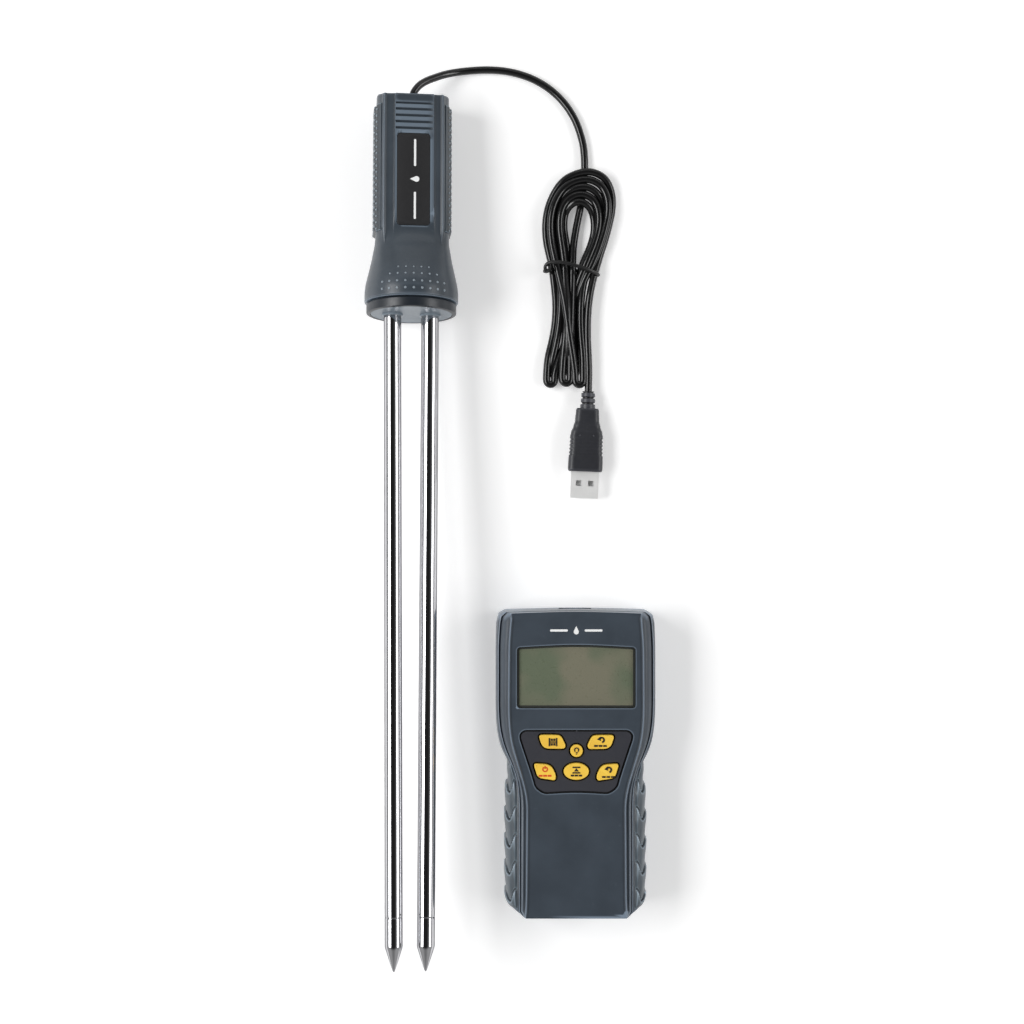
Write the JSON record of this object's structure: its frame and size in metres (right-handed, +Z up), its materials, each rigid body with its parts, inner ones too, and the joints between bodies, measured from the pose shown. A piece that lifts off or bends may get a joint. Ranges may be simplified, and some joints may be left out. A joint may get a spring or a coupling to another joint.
{
  "type": "grain moisture meter",
  "caption": "Hand-held grain moisture meter with sliding cell cover, display and sprung keys, beside its two-rod probe on a tied USB cord.",
  "frame": {"origin": "middle of the table patch that the meter and the probe cover, on the table's surface", "axes": "+Z up; +Y along both housings, from the rods' tips towards the probe's handle; +X from the probe towards the meter"},
  "size_m": [0.1225, 0.38, 0.046],
  "materials": {
    "case": "fine moulded grain, satin",
    "case_grip": "soft over-moulded rubber",
    "key_yellow": "smooth satin, printed marks",
    "panel": "fine matte film",
    "lens": "clear acrylic window",
    "display": "grey-green liquid crystal cell",
    "white_plastic": "white moulding",
    "elastomer": "striped conductive rubber",
    "circuit_board": "green lacquered glass laminate",
    "chips": "black epoxy",
    "capacitor": "sleeved cans",
    "cell": "jacketed can with bright cap",
    "nickel": "nickel-plated",
    "plug_tin": "bright tin plate",
    "contact_gold": "gold-flashed",
    "insulator": "moulded insulator",
    "handle": "fine moulded grain, satin",
    "handle_grip": "toothed soft grip",
    "label": "blank plate",
    "collar": "glossy ring",
    "nose": "light grey face",
    "block": "phenolic insulating block",
    "chrome_steel": "polished stainless steel",
    "cord": "black glossy sheath",
    "plug_black": "black overmould",
    "tie": "coated tie wire"
  },
  "bodies": {
    "root": {"front_shell": "case", "rear_shell": "case", "side_grip_left": "case_grip", "side_grip_right": "case_grip", "key_panel": "panel", "display_lens": "lens", "display_glass": "display", "display_frame": "white_plastic", "backlight_panel": "white_plastic", "contact_strip": "elastomer", "key_mat": "elastomer", "main_board": "circuit_board", "probe_board": "circuit_board", "controller_chip": "chips", "signal_chips": "chips", "probe_board_parts": "chips", "board_capacitors": "capacitor", "dry_cells": "cell", "contact_plates": "nickel", "contact_springs": "nickel", "terminal_lugs": "nickel", "case_screws": "nickel", "handle_screws": "nickel", "rod_studs": "nickel", "stud_nuts": "nickel", "usb_socket_shell": "plug_tin", "plug_shell": "plug_tin", "usb_socket_contacts": "contact_gold", "usb_socket_tongue": "insulator", "plug_tongue": "insulator", "rod_bushes": "insulator", "handle_shell_top": "handle", "handle_shell_bottom": "handle", "handle_grip_left": "handle_grip", "handle_grip_right": "handle_grip", "handle_label": "label", "collar": "collar", "nose_disc": "nose", "rod_block": "block", "probe_rod_left": "chrome_steel", "probe_rod_right": "chrome_steel", "rod_tip_left": "chrome_steel", "rod_tip_right": "chrome_steel", "cord_lead": "cord", "cord_hank": "cord", "cord_tail": "cord", "cord_grommet": "cord", "plug_relief": "cord", "rod_leads": "cord", "cord_clamp": "cord", "plug_body": "plug_black", "wire_tie": "tie"},
    "mode_button": {"key_mode": "key_yellow"},
    "next_button": {"key_next": "key_yellow"},
    "lamp_button": {"key_lamp": "key_yellow"},
    "power_button": {"key_power": "key_yellow"},
    "hold_button": {"key_hold": "key_yellow"},
    "back_button": {"key_back": "key_yellow"},
    "cell_door": {"battery_cover": "case"}
  },
  "joints": [
    {"name": "mode_press", "type": "slide", "parent": "root", "child": "mode_button", "axis": [0, 0, -1], "range_m": [0, 0.0008], "stiffness_N_per_m": 400},
    {"name": "next_press", "type": "slide", "parent": "root", "child": "next_button", "axis": [0, 0, -1], "range_m": [0, 0.0008], "stiffness_N_per_m": 400},
    {"name": "lamp_press", "type": "slide", "parent": "root", "child": "lamp_button", "axis": [0, 0, -1], "range_m": [0, 0.0008], "stiffness_N_per_m": 400},
    {"name": "power_press", "type": "slide", "parent": "root", "child": "power_button", "axis": [0, 0, -1], "range_m": [0, 0.0008], "stiffness_N_per_m": 400},
    {"name": "hold_press", "type": "slide", "parent": "root", "child": "hold_button", "axis": [0, 0, -1], "range_m": [0, 0.0008], "stiffness_N_per_m": 400},
    {"name": "back_press", "type": "slide", "parent": "root", "child": "back_button", "axis": [0, 0, -1], "range_m": [0, 0.0008], "stiffness_N_per_m": 400},
    {"name": "cell_door_slide", "type": "slide", "parent": "root", "child": "cell_door", "axis": [0, -1, 0], "range_m": [0, 0.058]}
  ]
}
